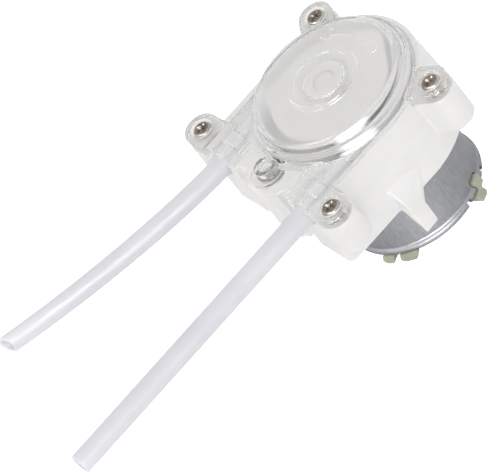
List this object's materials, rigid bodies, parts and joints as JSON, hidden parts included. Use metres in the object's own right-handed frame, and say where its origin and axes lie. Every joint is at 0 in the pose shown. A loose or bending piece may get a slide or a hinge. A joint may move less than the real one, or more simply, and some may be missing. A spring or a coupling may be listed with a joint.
{
  "type": "peristaltic pump",
  "caption": "Tube pump with a clear screwed-on cover over a roller rotor that squeezes a soft hose against a round track, turned directly by a flat round electric motor behind it.",
  "frame": {"origin": "centre of the flat boss at the motor's rear end, on the axis that the motor and the rotor turn about; the housing's rear face lies 20.9 mm above it", "axes": "+Z along the rotor's axis from the motor to the clear cover; -Y the way the two hose ends leave; +X completes the frame"},
  "size_m": [0.0585, 0.1185, 0.0445],
  "materials": {
    "clear_plastic": "water-clear glossy acrylic with moulded steps",
    "white_plastic": "satin warm-white moulded plastic",
    "silicone": "milky translucent silicone with a soft sheen",
    "roller_plastic": "smooth off-white acetal",
    "ivory_plastic": "pale greenish-ivory moulded plastic",
    "nickel": "bright nickel plate, slightly worn",
    "zinc_steel": "zinc-grey plated steel with a fine drawn grain",
    "steel": "ground steel",
    "bronze": "oil-soaked sintered bronze",
    "copper": "enamelled copper wire and bare copper segments",
    "brass": "tinned brass sheet",
    "ferrite": "dark grey ferrite",
    "carbon": "pressed carbon",
    "lamination": "stacked electrical steel"
  },
  "bodies": {
    "housing": {"pump_cover": "clear_plastic", "pump_body": "white_plastic", "shaft_washer": "white_plastic", "pump_tube": "silicone", "tube_stop_inlet": "silicone", "tube_stop_outlet": "silicone", "cover_bush": "roller_plastic", "motor_end_cap": "ivory_plastic", "cover_screw_front_left": "nickel", "cover_screw_front_right": "nickel", "cover_screw_rear_left": "nickel", "cover_screw_rear_right": "nickel", "motor_screw_left": "nickel", "motor_screw_right": "nickel", "motor_can": "zinc_steel", "motor_front_bush": "bronze", "motor_rear_bush": "bronze", "brush_spring_left": "bronze", "brush_spring_right": "bronze", "terminal_left": "brass", "terminal_right": "brass", "magnet_rear": "ferrite", "magnet_front": "ferrite", "brush_left": "carbon", "brush_right": "carbon"},
    "rotor": {"motor_shaft": "steel", "armature_core": "lamination", "armature_coil_1": "copper", "armature_coil_2": "copper", "armature_coil_3": "copper", "commutator": "copper", "rotor_base": "roller_plastic", "rotor_top": "roller_plastic", "roller_pin_1": "steel", "roller_pin_2": "steel", "roller_pin_3": "steel"},
    "roller_1_set": {"roller_1": "roller_plastic", "roller_bush_1": "bronze"},
    "roller_2_set": {"roller_2": "roller_plastic", "roller_bush_2": "bronze"},
    "roller_3_set": {"roller_3": "roller_plastic", "roller_bush_3": "bronze"}
  },
  "joints": [
    {"name": "rotor_spin", "type": "hinge", "parent": "housing", "child": "rotor", "pos_m": [0, 0, 0.0209], "axis": [0, 0, 1], "continuous": true, "deforming": ["pump_tube"]},
    {"name": "roller_1_spin", "type": "hinge", "parent": "rotor", "child": "roller_1_set", "pos_m": [-0.00042, 0.01199, 0.0351], "axis": [0, 0, 1], "continuous": true},
    {"name": "roller_2_spin", "type": "hinge", "parent": "rotor", "child": "roller_2_set", "pos_m": [-0.01018, -0.00636, 0.0351], "axis": [0, 0, 1], "continuous": true},
    {"name": "roller_3_spin", "type": "hinge", "parent": "rotor", "child": "roller_3_set", "pos_m": [0.0106, -0.00563, 0.0351], "axis": [0, 0, 1], "continuous": true}
  ],
  "couplings": [
    {"joint": "roller_1_spin", "follows": "rotor_spin", "ratio": -4},
    {"joint": "roller_2_spin", "follows": "rotor_spin", "ratio": -4},
    {"joint": "roller_3_spin", "follows": "rotor_spin", "ratio": -4}
  ]
}
